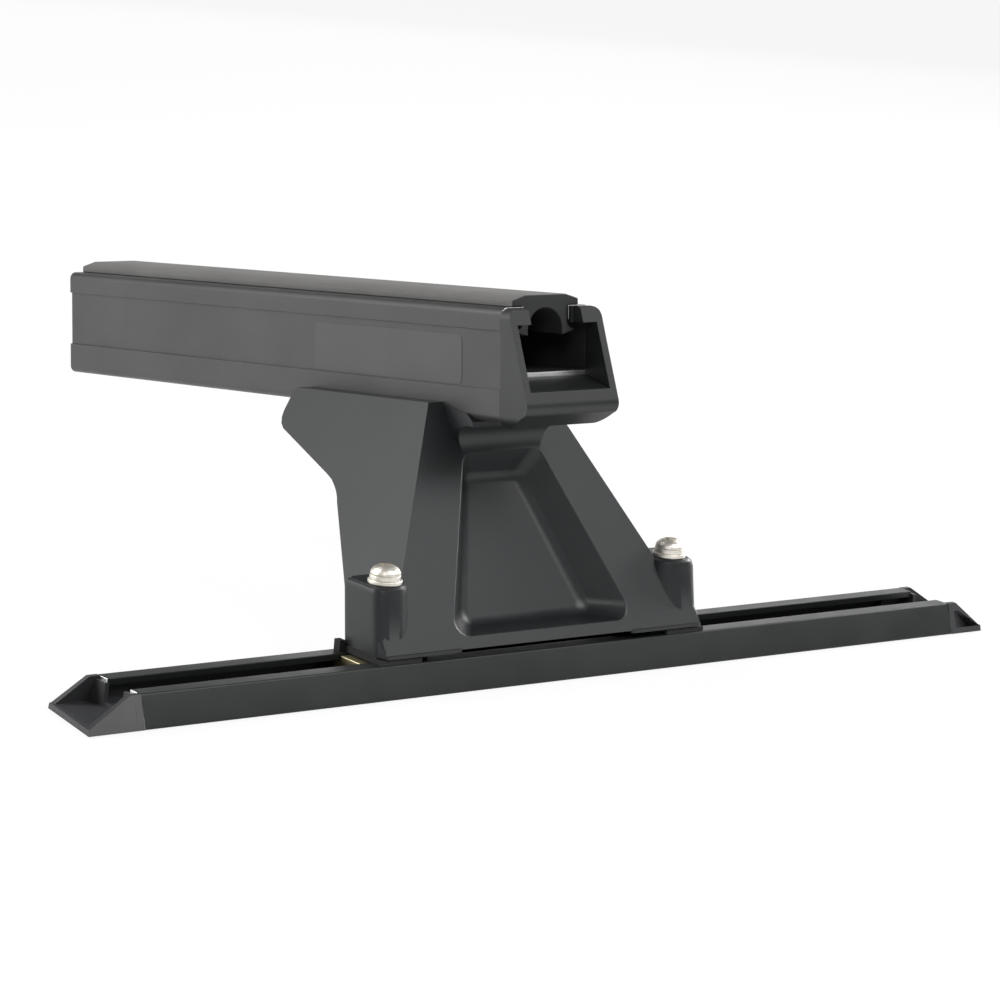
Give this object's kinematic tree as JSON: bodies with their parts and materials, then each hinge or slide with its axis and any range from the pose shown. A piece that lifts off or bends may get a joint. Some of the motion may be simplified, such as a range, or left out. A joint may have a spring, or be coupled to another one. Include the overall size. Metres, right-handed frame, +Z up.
{
  "type": "roof bar foot",
  "caption": "Trapezoid roof bar foot clamped to a slotted roof track, with a saddle that carries a cut length of box crossbar with a rubber strip and an open end cap.",
  "frame": {"origin": "middle of the flat underside of the track", "axes": "+X along the track, -Y to the outer side of the roof where the bar's capped end is, +Z up from the roof panel"},
  "size_m": [0.4088, 0.2973, 0.1336],
  "materials": {
    "leg_plastic": "fine moulded grain, satin black",
    "bar_coat": "black powder coat",
    "strip_rubber": "matt black rubber",
    "cap_plastic": "satin black moulded plastic",
    "track_coat": "black powder coat, bare aluminium at the cut ends",
    "track_cap_plastic": "dark grey moulded plastic",
    "pad_rubber": "matt black",
    "zinc_steel": "yellow zinc plated steel",
    "stainless": "stainless steel"
  },
  "bodies": {
    "track_rail": {"track": "track_coat", "track_end_cap_left": "track_cap_plastic", "track_end_cap_right": "track_cap_plastic"},
    "foot": {"leg": "leg_plastic", "cross_bar": "bar_coat", "bar_strip": "strip_rubber", "bar_end_cap": "cap_plastic", "bar_nut_plate": "zinc_steel", "bar_bolt_front": "stainless", "bar_bolt_rear": "stainless", "bar_bolt_washer_front": "stainless", "bar_bolt_washer_rear": "stainless", "foot_pad_left": "pad_rubber", "foot_pad_right": "pad_rubber", "boss_sleeve_left": "stainless", "boss_sleeve_right": "stainless", "spring_washer_left": "stainless", "spring_washer_right": "stainless", "flat_washer_left": "stainless", "flat_washer_right": "stainless", "channel_nut_left": "zinc_steel", "channel_nut_right": "zinc_steel"},
    "screw_left": {"mount_screw_left": "stainless"},
    "screw_right": {"mount_screw_right": "stainless"}
  },
  "joints": [
    {"name": "foot_slide", "type": "slide", "parent": "track_rail", "child": "foot", "axis": [1, 0, 0], "range_m": [-0.085, 0.105]},
    {"name": "screw_left_turn", "type": "hinge", "parent": "foot", "child": "screw_left", "pos_m": [-0.0775, 0, 0.036], "axis": [0, 0, 1], "continuous": true},
    {"name": "screw_right_turn", "type": "hinge", "parent": "foot", "child": "screw_right", "pos_m": [0.0505, 0, 0.036], "axis": [0, 0, 1], "continuous": true}
  ]
}
